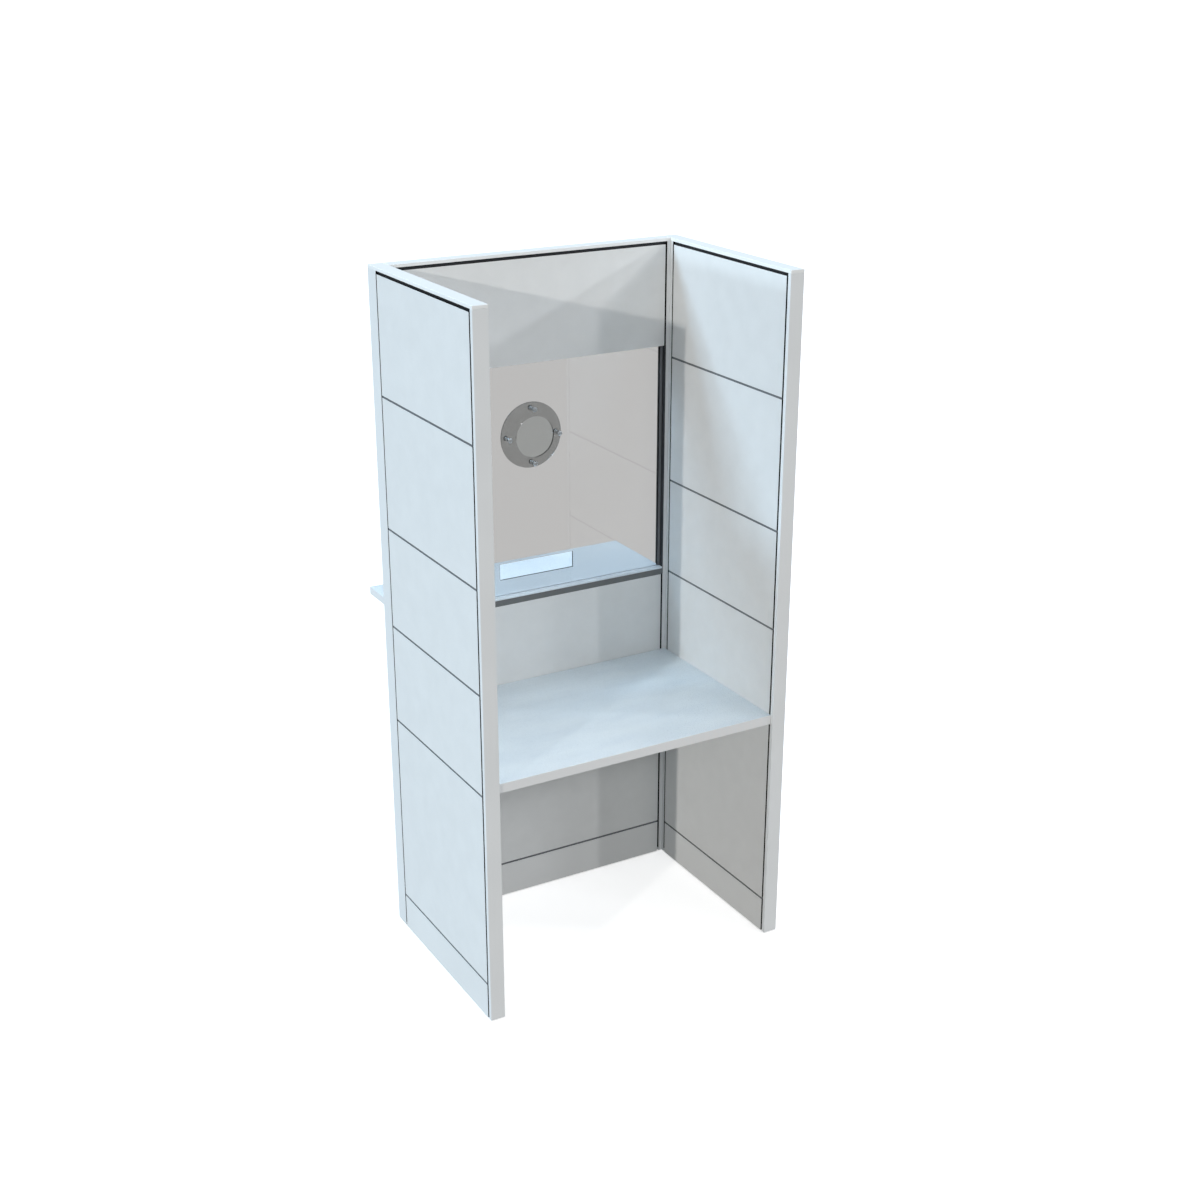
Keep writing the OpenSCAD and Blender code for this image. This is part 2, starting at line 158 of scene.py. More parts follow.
@dataclass(frozen=True)
class Finish:
    """A real surface: a colour that drifts slowly, under a fine grain.

    The grain breaks the gloss and stands a little proud.
    """

    name: str
    colour: str
    roughness: float
    second: str = ""
    cloud_mm: float = 200.0
    cloud_detail: float = 2.0
    grain_mm: float = 2.0
    grain_detail: float = 2.0
    grain_height_mm: float = 0.01
    gloss_change: float = 0.05
    drawn: Point = (1.0, 1.0, 1.0)
    shine: float = 0.5

    def material(self) -> bpy.types.Material:
        """Builds the material once, and gives the same one after that.

        Returns:
            The Blender material.
        """
        known = bpy.data.materials.get(self.name)
        if known:
            return known
        made = bpy.data.materials.new(self.name)
        made.use_nodes = True
        tree = made.node_tree
        shader = next(n for n in tree.nodes if n.type == "BSDF_PRINCIPLED")
        shader.inputs["Base Color"].default_value = linear(self.colour)
        shader.inputs["Roughness"].default_value = self.roughness
        shader.inputs["Specular IOR Level"].default_value = self.shine
        if self.second or self.grain_mm:
            place = add_node(tree, "ShaderNodeTexCoord").outputs["Object"]
            scale = {"Scale": tuple(self.drawn)}
            drawn = add_node(tree, "ShaderNodeMapping", scale, {"Vector": place})
            pattern = {"Vector": drawn.outputs["Vector"]}
        if self.second:
            cloud = add_node(
                tree,
                "ShaderNodeTexNoise",
                {"Scale": 1 / (self.cloud_mm * MM), "Detail": self.cloud_detail},
                pattern,
            )
            ramp = add_node(tree, "ShaderNodeValToRGB", links={"Fac": cloud.outputs["Fac"]})
            stops = ((NOISE_LOW, self.colour), (NOISE_HIGH, self.second))
            for element, (position, colour) in zip(ramp.color_ramp.elements, stops):
                element.position, element.color = position, linear(colour)
            tree.links.new(ramp.outputs["Color"], shader.inputs["Base Color"])
        if self.grain_mm:
            grain = add_node(
                tree,
                "ShaderNodeTexNoise",
                {"Scale": 1 / (self.grain_mm * MM), "Detail": self.grain_detail},
                pattern,
            )
            gloss = add_node(
                tree,
                "ShaderNodeMapRange",
                {
                    "From Min": NOISE_LOW,
                    "From Max": NOISE_HIGH,
                    "To Min": self.roughness - self.gloss_change,
                    "To Max": self.roughness + self.gloss_change,
                },
                {"Value": grain.outputs["Fac"]},
            )
            tree.links.new(gloss.outputs["Result"], shader.inputs["Roughness"])
            raised = add_node(
                tree,
                "ShaderNodeBump",
                {"Distance": self.grain_height_mm * MM, "Strength": 1.0},
                {"Height": grain.outputs["Fac"]},
            )
            tree.links.new(raised.outputs["Normal"], shader.inputs["Normal"])
        self.dress(tree, shader)
        return made

    def dress(self, tree: bpy.types.NodeTree, shader: bpy.types.Node) -> None:
        """Adds what this kind of finish has beyond its colour and its grain."""


@dataclass(frozen=True)
class PowderCoat(Finish):
    """Powder-coated metal: an even baked colour with a faint orange peel that softens its gloss."""

    # Orange peel waves are about 1 mm across; they are drawn twice as coarse, so that they show.
    grain_mm: float = 2.2
    grain_detail: float = 1.0
    grain_height_mm: float = 0.012
    gloss_change: float = 0.035


@dataclass(frozen=True)
class Laminate(Finish):
    """High-pressure laminate: pressed paper under resin, with a suede texture and faint clouds."""

    # A suede press plate's grain is near 0.2 mm; it is drawn eight times as coarse, so that it
    # shows.
    grain_mm: float = 1.6
    grain_height_mm: float = 0.014
    cloud_mm: float = 60.0
    cloud_detail: float = 4.0
    gloss_change: float = 0.055


@dataclass(frozen=True)
class MouldedPlastic(Finish):
    """Extruded or moulded plastic or rubber: one colour through, with a dull fine grain."""

    # The die leaves a grain near 0.1 mm; it is drawn nine times as coarse, so that it shows.
    grain_mm: float = 0.9


@dataclass(frozen=True)
class Metal(Finish):
    """Bare or plated metal, with fine marks left by how it was worked."""

    # Tool marks are a tenth of a millimetre apart; they are drawn several times as coarse, so that
    # they show.
    grain_mm: float = 0.8
    grain_detail: float = 3.0
    grain_height_mm: float = 0.004
    gloss_change: float = 0.07

    def dress(self, tree: bpy.types.NodeTree, shader: bpy.types.Node) -> None:
        """Makes the surface metallic."""
        shader.inputs["Metallic"].default_value = 1.0


@dataclass(frozen=True)
class FloatGlass(Finish):
    """Float glass: clear and flat, with a grey body tint that darkens what is behind it."""

    grain_mm: float = 0.0
    shine: float = 1.0
    ior: float = 1.52
    lamp_tint: str = "#a0a1a2"

    def dress(self, tree: bpy.types.NodeTree, shader: bpy.types.Node) -> None:
        """Sets the glass's index, and lets the lamps light what is behind it."""
        shader.inputs["Transmission Weight"].default_value = 1.0
        shader.inputs["IOR"].default_value = self.ior
        lamps = add_node(tree, "ShaderNodeLightPath").outputs["Is Shadow Ray"]
        through = add_node(tree, "ShaderNodeBsdfTransparent", {"Color": linear(self.lamp_tint)})
        mix = add_node(
            tree,
            "ShaderNodeMixShader",
            links={0: lamps, 1: shader.outputs["BSDF"], 2: through.outputs["BSDF"]},
        )
        output = next(n for n in tree.nodes if n.type == "OUTPUT_MATERIAL")
        tree.links.new(mix.outputs["Shader"], output.inputs["Surface"])


@dataclass(frozen=True)
class CastAcrylic(FloatGlass):
    """Cast acrylic: grey tinted sheet, lightly and unevenly frosted to blur what is behind it."""

    # Frosting is far finer than a millimetre; its unevenness is drawn at 1.2 mm, so that it shows.
    grain_mm: float = 1.2
    grain_detail: float = 1.0
    grain_height_mm: float = 0.002
    ior: float = 1.49


# White laminate tiles: matt enough that the walls read as one even sheet of light.
TILE = Laminate("tile high-pressure laminate", "#e4e6e6", 0.42, second="#e8eaea")
# The covers are pressed steel, painted to go with the tiles, so they shine a little more.
COVER = PowderCoat("base cover powder-coated steel", "#e6e8e8", 0.38, second="#eaecec")
# Light grey coated aluminium of the posts and end trims: it draws the pale outline of each wall.
TRIM = PowderCoat("trim powder-coated aluminium", "#e6e9ea", 0.36, second="#eaedee")
# The caps' paint is drawn lighter than the trims' as a painted highlight, because they look up at
# the lights.
CAP_PAINTED_HIGHLIGHT = PowderCoat("cap powder-coated aluminium", "#f3f5f5", 0.34, second="#f6f8f8")
# Charcoal frame steel: the jambs of the window read as dark grey bands.
FRAME = PowderCoat(
    "frame powder-coated steel", "#2f3134", 0.5, second="#35373a", grain_mm=1.6, shine=0.3
)
# Matt black of the slotted strips: the floor of each upright gap reads as a black line.
STRIP = PowderCoat(
    "slotted strip matt powder-coated steel",
    "#121314",
    0.7,
    second="#17181a",
    grain_mm=1.6,
    shine=0.15,
)
# Pale blue-white laminate with drawn-out clouds, on the worksurface and the counter.
BOARD = Laminate(
    "board high-pressure laminate",
    "#e0ecf4",
    0.3,
    second="#e8f3f9",
    cloud_mm=70.0,
    drawn=(0.35, 1.0, 1.0),
)
# Pale edge banding: a plain plastic strip, duller than the laminate that it borders.
BAND = MouldedPlastic("board ABS edge banding", "#e9ebec", 0.45)
# Mid-grey edging on the counter's inner edge: the one dark band across the window.
EDGING = MouldedPlastic("counter ABS edging", "#6f7172", 0.45)
# Faintly grey glass: what is beyond it loses about a third of its light.
GLASS = FloatGlass("window float glass", "#d8d7d7", 0.0)
# Smoke-grey acrylic disc: light comes through, but shapes behind it are soft.
DISC = CastAcrylic("disc cast acrylic", "#aeb0af", 0.22)
# Mid-grey coated channels that hold the glass, lighter than the gaps beside them.
CHANNEL = PowderCoat("channel powder-coated aluminium", "#787b7f", 0.42, second="#7d8084")
# Turned aluminium of the standoffs and bolts: fine rings round the axis that they lie on.
HARDWARE = Metal("standoff turned aluminium", "#cfd2d5", 0.38, grain_mm=0.6, drawn=(0.2, 1, 0.2))
# Zinc plate on the glides and screws: cool grey and cloudy.
ZINC = Metal("fastener zinc-plated steel", "#a9adb2", 0.36, grain_mm=2.5)
# Core and returned edges of each tile and cover, drawn black as painted shade: its gaps read black
# from any side.
GAP_SHADE_CORE = PowderCoat(
    "tile core matt black coating", "#141516", 0.7, second="#191a1b", grain_mm=1.6, shine=0.15
)
# Mid-grey plastic in each level joint: it catches the light from above as a soft grey line.
JOINT = MouldedPlastic("joint strip grey PVC", "#696c70", 0.5)
# Black plastic on the trims' sides inside each upright gap.
LINER = MouldedPlastic("gap liner black PVC", "#0e0f10", 0.75, shine=0.15)
# Grey painted brackets under both boards.
BRACKET = PowderCoat("bracket powder-coated steel", "#b3b6b8", 0.42, second="#b9bcbe")
# Black rubber of the glazing gaskets and the feet's pads.
RUBBER = MouldedPlastic("gasket EPDM rubber", "#141516", 0.62)


# ---------------------------------------------------------------- modelling


def deselect() -> None:
    """Leaves nothing selected and nothing in edit mode."""
    if bpy.context.object and bpy.context.object.mode != "OBJECT":
        bpy.ops.object.mode_set(mode="OBJECT")
    for chosen in list(bpy.context.selected_objects):
        chosen.select_set(False)


def activate(piece: bpy.types.Object) -> None:
    """Makes one object the only selected one, and the active one."""
    deselect()
    piece.select_set(True)
    bpy.context.view_layer.objects.active = piece


def settle(piece: bpy.types.Object) -> bpy.types.Object:
    """Puts the object's origin at the frame's origin, with its place in its mesh."""
    activate(piece)
    bpy.ops.object.transform_apply(location=True, rotation=True, scale=True)
    return piece


def add_block(name: str, low: Point, high: Point) -> bpy.types.Object:
    """Adds a box as a start for a piece.

    Args:
        name: The piece's name.
        low: The lowest corner.
        high: The highest corner.

    Returns:
        The new object, at the origin.
    """
    deselect()
    low_v, high_v = Vector(low), Vector(high)
    bpy.ops.mesh.primitive_cube_add(size=1, location=(low_v + high_v) / 2)
    piece = bpy.context.object
    piece.name = name
    piece.scale = high_v - low_v
    return settle(piece)


def add_rod(
    name: str, centre: Point, radius: float, length: float, axis: Axis, sides: int = 48
) -> bpy.types.Object:
    """Adds a round bar as a start for a piece.

    Args:
        name: The piece's name.
        centre: The middle of the bar.
        radius: The bar's radius.
        length: The bar's length.
        axis: The axis that it lies along.
        sides: The number of sides.

    Returns:
        The new object, at the origin.
    """
    turns = {Axis.X: (0, math.pi / 2, 0), Axis.Y: (math.pi / 2, 0, 0), Axis.Z: (0, 0, 0)}
    deselect()
    bpy.ops.mesh.primitive_cylinder_add(
        vertices=sides, radius=radius, depth=length, location=centre, rotation=turns[axis]
    )
    piece = bpy.context.object
    piece.name = name
    return settle(piece)


def add_upright_rod(
    name: str, centre: Point, radius: float, bottom: float, top: float, sides: int = 48
) -> bpy.types.Object:
    """Adds an upright round bar between two heights, round the axis through a point."""
    middle = (centre[0], centre[1], (bottom + top) / 2)
    return add_rod(name, middle, radius, top - bottom, Axis.Z, sides)


class Editing:
    """Edit mode on one piece, with faces and edges selected by their place or direction."""

    def __init__(self, piece: bpy.types.Object) -> None:
        """Keeps the piece to edit."""
        self.piece = piece

    def __enter__(self) -> "Editing":
        """Enters edit mode with nothing selected."""
        activate(self.piece)
        bpy.ops.object.mode_set(mode="EDIT")
        bpy.ops.mesh.select_mode(type="FACE")
        bpy.ops.mesh.select_all(action="DESELECT")
        return self

    def __exit__(self, *_: object) -> None:
        """Leaves edit mode."""
        bpy.ops.object.mode_set(mode="OBJECT")

    def choose(self, kind: str, test: Callable[[Element], bool]) -> None:
        """Selects only the faces, edges or points that pass a test.

        Args:
            kind: The select mode: "FACE", "EDGE" or "VERT".
            test: Says whether a face, edge or point is wanted.
        """
        bpy.ops.mesh.select_mode(type=kind)
        bpy.ops.mesh.select_all(action="DESELECT")
        mesh = bmesh.from_edit_mesh(self.piece.data)
        for part in getattr(mesh, ELEMENTS[kind]):
            if test(part):
                part.select_set(True)
        bmesh.update_edit_mesh(self.piece.data)

    def choose_facing(self, direction: Vector) -> None:
        """Selects only the faces that look along a direction."""
        self.choose("FACE", lambda face: face.normal.dot(direction) > FACING_COSINE)

    def choose_across(self, direction: Vector) -> None:
        """Selects only the faces that look along a direction or against it."""
        self.choose("FACE", lambda face: abs(face.normal.dot(direction)) > FACING_COSINE)

    def recess(self, direction: Vector, rim: float, depth: float) -> None:
        """Sinks the faces that look along a direction, inside a rim.

        Args:
            direction: The way the faces look.
            rim: Width of the rim that stays.
            depth: How far the floor of the recess goes in.
        """
        self.choose_facing(direction)
        bpy.ops.mesh.inset(thickness=rim, depth=0)
        bpy.ops.mesh.extrude_region_move(
            TRANSFORM_OT_translate={"value": tuple(-direction * depth)}
        )

    def bore_through(self, axis: Axis, wall: float) -> None:
        """Opens a box from end to end along an axis.

        Args:
            axis: The axis that the hole runs along.
            wall: Thickness of the walls that stay.
        """
        self.choose_across(axis.vector)
        bpy.ops.mesh.inset(thickness=wall, depth=0)
        bpy.ops.mesh.bridge_edge_loops()
        bpy.ops.mesh.select_all(action="SELECT")
        bpy.ops.mesh.normals_make_consistent(inside=False)


def apply_modifier(piece: bpy.types.Object, kind: str, **settings: object) -> None:
    """Adds a modifier with its settings, and applies it."""
    activate(piece)
    modifier = piece.modifiers.new(kind.lower(), kind)
    for name, value in settings.items():
        setattr(modifier, name, value)
    bpy.ops.object.modifier_apply(modifier=modifier.name)


def soften(piece: bpy.types.Object, radius: float, segments: int = 2) -> bpy.types.Object:
    """Rounds every sharp edge a little, and shades the rounds smooth.

    Args:
        piece: The piece to finish.
        radius: Radius of the rounding.
        segments: Faces across each rounding.

    Returns:
        The piece.
    """
    apply_modifier(
        piece,
        "BEVEL",
        width=radius,
        segments=segments,
        limit_method="ANGLE",
        angle_limit=math.radians(SHARP_DEG),
        use_clamp_overlap=True,
    )
    return shade(piece)


def shade(piece: bpy.types.Object) -> bpy.types.Object:
    """Shades rounds smooth, with the flats' own normals kept across them."""
    activate(piece)
    bpy.ops.object.shade_smooth_by_angle(angle=math.radians(SMOOTH_DEG))
    apply_modifier(piece, "WEIGHTED_NORMAL", mode="FACE_AREA", weight=FLAT_WEIGHT, keep_sharp=True)
    return piece


def cut(piece: bpy.types.Object, tools: Iterable[bpy.types.Object]) -> None:
    """Cuts each tool's shape out of the piece, and removes the tool."""
    for tool in tools:
        apply_modifier(piece, "BOOLEAN", operation="DIFFERENCE", object=tool, solver="EXACT")
        bpy.data.objects.remove(tool)


def join(name: str, parts: Sequence[bpy.types.Object]) -> bpy.types.Object:
    """Makes several objects one piece.

    Args:
        name: The piece's name.
        parts: The objects to join; the first keeps its place in the scene.

    Returns:
        The joined piece.
    """
    activate(parts[0])
    for part in parts:
        part.select_set(True)
    bpy.ops.object.join()
    piece = bpy.context.object
    piece.name = name
    return piece


def copy_to(piece: bpy.types.Object, name: str, shift: Vector) -> bpy.types.Object:
    """Copies a piece, mesh and all, to another place.

    Args:
        piece: The piece to copy.
        name: The copy's name.
        shift: How far the copy moves.

    Returns:
        The copy, at the origin.
    """
    twin = piece.copy()
    twin.data = piece.data.copy()
    twin.name = name
    twin.parent = None
    for key in list(twin.keys()):
        del twin[key]
    bpy.context.scene.collection.objects.link(twin)
    twin.location = shift
    return settle(twin)


def enclosing(points: Iterable[Point]) -> Box:
    """The smallest box round some points."""
    spans = list(zip(*points))
    return Vector([min(span) for span in spans]), Vector([max(span) for span in spans])


def solid_boxes(node: str) -> list[Box]:
    """The box of each separate solid in a CAD node, from low X, Y and Z to high.

    Args:
        node: The CAD node's name.

    Returns:
        One pair of corners for each solid.
    """
    mesh = bmesh.new()
    mesh.from_mesh(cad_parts[node].data)
    bmesh.ops.remove_doubles(mesh, verts=mesh.verts, dist=MERGE_DISTANCE)
    left, boxes = set(mesh.faces), []
    while left:
        waiting = [left.pop()]
        places = []
        while waiting:
            face = waiting.pop()
            places.extend(vert.co for vert in face.verts)
            for edge in face.edges:
                # Solids that touch share an edge of four faces, so the search stops there.
                if len(edge.link_faces) == 2:
                    for other in edge.link_faces:
                        if other in left:
                            left.remove(other)
                            waiting.append(other)
        boxes.append(enclosing(places))
    mesh.free()
    return sorted(boxes, key=lambda box: tuple(round(v, 5) for v in (*box[0], *box[1])))


def issue(
    piece: bpy.types.Object,
    finish: Finish,
    body: str = BOOTH,
    replaces: Sequence[str] = (),
) -> None:
    """Gives a finished piece its material and its body, and hides the CAD nodes that it stands for.

    Args:
        piece: The finished piece.
        finish: The surface that it has.
        body: The CAD body that it rides on.
        replaces: The CAD nodes that it stands for.
    """
    piece.data.materials.clear()
    piece.data.materials.append(finish.material())
    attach(piece, body)
    if replaces:
        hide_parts(*replaces)
    log.info("made %s, %d faces", piece.name, len(piece.data.polygons))


def dress_node(node: str, finish: Finish) -> None:
    """Gives a CAD node that stays in view its real surface."""
    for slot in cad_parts[node].material_slots:
        slot.material = finish.material()
    log.info("dressed %s", node)


# ---------------------------------------------------------------- sub-assemblies


@dataclass
class SubAssembly:
    """A group of pieces; the first piece of each pattern and size is copied for the rest."""

    patterns: dict[tuple, tuple[bpy.types.Object, Vector]] = field(default_factory=dict, repr=False)

    def repeat(
        self, pattern: str, name: str, box: Box, model: Callable[[str, Box], bpy.types.Object]
    ) -> bpy.types.Object:
        """Models the first piece of a pattern and size, and copies it after that.

        Args:
            pattern: What the piece is, and the way that it looks.
            name: The piece's name.
            box: Its lowest and highest corners.
            model: Models the piece from its name and box.

        Returns:
            The piece.
        """
        low, high = Vector(box[0]), Vector(box[1])
        key = (pattern, *(round(size / MM, 2) for size in high - low))
        if key in self.patterns:
            first, corner = self.patterns[key]
            return copy_to(first, name, low - corner)
        piece = model(name, (low, high))
        self.patterns[key] = (piece, low)
        return piece

    def block(self, pattern: str, name: str, box: Box, radius: float) -> bpy.types.Object:
        """Models or copies a plain strip or board with its edges rounded."""
        return self.repeat(pattern, name, box, lambda n, b: soften(add_block(n, *b), radius))


@dataclass
class WallSkins(SubAssembly):
    """The hang-on tiles and base covers: pale faces on cores drawn black as painted gap shade, with
    strips in the joints.
    """

    # The face sheet is thin, so that the core's black edges show in the gaps as painted shade.
    face_thickness: float = 0.4 * MM
    face_radius: float = 0.15 * MM
    core_inset: float = 0.25 * MM
    core_rim: float = 14 * MM
    core_hollow: float = 0.7
    core_radius: float = 0.5 * MM
    cover_rim: float = 3 * MM
    joint_setback: float = 0.6 * MM
    joint_depth: float = 5.0 * MM
    joint_groove: float = 0.3 * MM
    joint_lip: float = 0.3
    joint_radius: float = 0.2 * MM
    liner_thickness: float = 0.6 * MM
    rib_width: float = 1.2 * MM
    rib_height: float = 0.1 * MM
    reach: float = 8.3 * MM
    top_clearance: float = 8 * MM
    clearance: float = 1 * MM

    @staticmethod
    def facing(node: str) -> Face:
        """The way a skin looks, from its node's name."""
        if node.startswith("back_room"):
            return Face.ROOM
        if node.startswith("back_public"):
            return Face.PUBLIC
        looks_left = node.startswith(("left_outer", "right_inner"))
        return Face.LEFT if looks_left else Face.RIGHT

    @staticmethod
    def slab(box: Box, out: Vector, near: float, far: float, inset: float = 0.0) -> Box:
        """A slice of a skin's box, between two depths behind its face.

        Args:
            box: The skin's corners.
            out: The way the skin looks.
            near: Depth of the slice's front behind the face.
            far: Depth of the slice's back behind the face.
            inset: How much smaller the slice is all round.

        Returns:
            The slice's corners.
        """
        low, high = box[0].copy(), box[1].copy()
        for i in range(3):
            if out[i] > 0:
                low[i], high[i] = box[1][i] - far, box[1][i] - near
            elif out[i] < 0:
                low[i], high[i] = box[0][i] + near, box[0][i] + far
            else:
                low[i], high[i] = low[i] + inset, high[i] - inset
        return low, high

    def skin(self, node: str, finish: Finish, slot: str, rim: float) -> None:
        """Builds one skin: its face sheet, and its core with a hollow back.

        Args:
            node: The CAD node that it stands for.
            finish: The surface of its face.
            slot: The name of its face's material slot; not used.
            rim: Width of the core's rim round its hollow back.
        """
        box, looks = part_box(node), self.facing(node)
        out = looks.outward
        depth = abs((box[1] - box[0]).dot(out))
        face = self.block(
            "face", node + "_face", self.slab(box, out, 0, self.face_thickness), self.face_radius
        )
        issue(face, finish, replaces=[node])

        def hollow_core(name: str, corners: Box) -> bpy.types.Object:
            """Models a core with its back sunk inside a rim."""
            piece = add_block(name, *corners)
            with Editing(piece) as edit:
                edit.recess(-out, rim, (depth - self.face_thickness) * self.core_hollow)
            return soften(piece, self.core_radius)

        behind = self.slab(box, out, self.face_thickness, depth, self.core_inset)
        core = self.repeat(f"core {looks.name}", node + "_core", behind, hollow_core)
        # The core's black is painted shade that darkens the gaps round the face.
        issue(core, GAP_SHADE_CORE, replaces=[node])

    def joint(self, lower: str, upper: str) -> None:
        """Builds the grooved strip in the joint between one skin and the next above it.

        Args:
            lower: The node below the joint.
            upper: The node above the joint.
        """
        box_below, box_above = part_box(lower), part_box(upper)
        looks = self.facing(lower)
        out = looks.outward
        low = Vector((box_below[0].x, box_below[0].y, box_below[1].z))
        high = Vector((box_below[1].x, box_below[1].y, box_above[0].z))
        corners = self.slab(
            (low, high), out, self.joint_setback, self.joint_setback + self.joint_depth
        )

        def grooved(name: str, box: Box) -> bpy.types.Object:
            """Models a strip with a shallow groove along its face."""
            piece = add_block(name, *box)
            with Editing(piece) as edit:
                edit.recess(out, (high.z - low.z) * self.joint_lip, self.joint_groove)
            return soften(piece, self.joint_radius)

        strip = self.repeat(f"joint {looks.name}", f"joint_over_{lower}", corners, grooved)
        issue(strip, JOINT)

    def liner(self, name: str, low: Point, high: Point, looks: Axis) -> None:
        """Builds a ribbed black liner on the side of a gap between a skin and a trim.

        Args:
            name: The piece's name.
            low: Its lowest corner.
            high: Its highest corner.
            looks: The axis across the gap.
        """

        def ribbed(piece_name: str, box: Box) -> bpy.types.Object:
            """Models a liner with a rib along each edge."""
            piece = add_block(piece_name, *box)
            with Editing(piece) as edit:
                for sign in (-1, 1):
                    edit.recess(looks.vector * sign, self.rib_width, self.rib_height)
            return soften(piece, self.rib_height, segments=1)

        issue(self.repeat(f"liner {looks.name}", name, (low, high), ribbed), LINER)

    def wing_liners(self, side: str, face: str) -> None:
        """Builds the liners at both ends of one wing face."""
        frame_low, frame_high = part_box(f"{side}_wing_frame")
        out = self.facing(f"{side}_{face}").outward
        edge = frame_high.x if out.x > 0 else frame_low.x
        x0, x1 = sorted((edge, edge + out.x * self.reach))
        top = frame_high.z - self.top_clearance
        thin = self.liner_thickness
        for start, end, place in (
            (frame_low.y, frame_low.y + thin, "front"),
            (frame_high.y - thin, frame_high.y, "rear"),
        ):
            self.liner(
                f"{side}_{face}_{place}_liner", (x0, start, frame_low.z), (x1, end, top), Axis.Y
            )

    def back_liners(self, face: str) -> None:
        """Builds the liners beside the back wall's skins, under the counter and over the window."""
        tile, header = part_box(f"back_{face}_tile_1"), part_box(f"back_{face}_header")
        frame_low, frame_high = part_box("back_frame")
        spans = (
            (frame_low.z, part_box("counter_edging")[0].z - self.clearance, "lower"),
            (header[0].z, frame_high.z - self.top_clearance, "upper"),
        )
        thin = self.liner_thickness
        y0, y1 = tile[0].y, tile[1].y
        if face == "room":
            y0 += self.clearance
        else:
            y1 -= self.clearance
        for bottom, top, level in spans:
            for x0, x1, place in (
                (frame_low.x, frame_low.x + thin, "left"),
                (frame_high.x - thin, frame_high.x, "right"),
            ):
                self.liner(
                    f"back_{face}_{level}_{place}_liner", (x0, y0, bottom), (x1, y1, top), Axis.X
                )

    def build(self) -> None:
        """Builds every tile, header, base cover, joint strip and liner."""
        for node in sorted(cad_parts):
            if "tile" in node or "header" in node:
                self.skin(node, TILE, "tile_laminate", self.core_rim)
            elif "base_cover" in node:
                self.skin(node, COVER, "cover_paint", self.cover_rim)
        for side in ("left", "right"):
            for face in ("outer", "inner"):
                column = [f"{side}_{face}_base_cover"]
                column += [f"{side}_{face}_tile_{n}" for n in range(1, 6)]
                for lower, upper in zip(column, column[1:]):
                    self.joint(lower, upper)
                self.wing_liners(side, face)
        for face in ("room", "public"):
            column = [f"back_{face}_base_cover", f"back_{face}_tile_1", f"back_{face}_tile_2"]
            for lower, upper in zip(column, column[1:]):
                self.joint(lower, upper)
            self.back_liners(face)


@dataclass
class Extrusions(SubAssembly):
    """The hollow uprights, which are the posts, end trims and edge strips, and the top caps."""

    wall: float = 2 * MM
    corner_radius: float = 1.2 * MM
    cap_roof: float = 2.5 * MM

    def upright(self, name: str, box: Box) -> bpy.types.Object:
        """Models a hollow upright, open at both ends.

        Args:
            name: The piece's name.
            box: Its lowest and highest corners.

        Returns:
            The piece.
        """
        piece = add_block(name, *box)
        with Editing(piece) as edit:
            edit.bore_through(Axis.Z, self.wall)
        return soften(piece, self.corner_radius, segments=3)

    def cap(self, name: str, box: Box) -> bpy.types.Object:
        """Models a top cap, hollow from below, with its upper edges rounded."""
        piece = add_block(name, *box)
        with Editing(piece) as edit:
            edit.recess(-Axis.Z.vector, self.wall, box[1].z - box[0].z - self.cap_roof)
        return soften(piece, self.corner_radius, segments=3)

    def build(self) -> None:
        """Builds the uprights and the caps."""
        for node in ("left_corner_post", "right_corner_post", "left_end_trim", "right_end_trim"):
            piece = self.repeat("upright", node + "_extrusion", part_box(node), self.upright)
            issue(piece, TRIM, replaces=[node])
        for number, box in enumerate(solid_boxes("panel_edge_trims"), start=1):
            piece = self.repeat("upright", f"edge_strip_{number}", box, self.upright)
            issue(piece, TRIM, replaces=["panel_edge_trims"])
        for node in ("left_top_cap", "right_top_cap", "back_top_cap"):
            piece = self.repeat("cap", node + "_shell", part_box(node), self.cap)
            # The caps' lighter paint is a painted highlight from the lights above.
            issue(piece, CAP_PAINTED_HIGHLIGHT, replaces=[node])


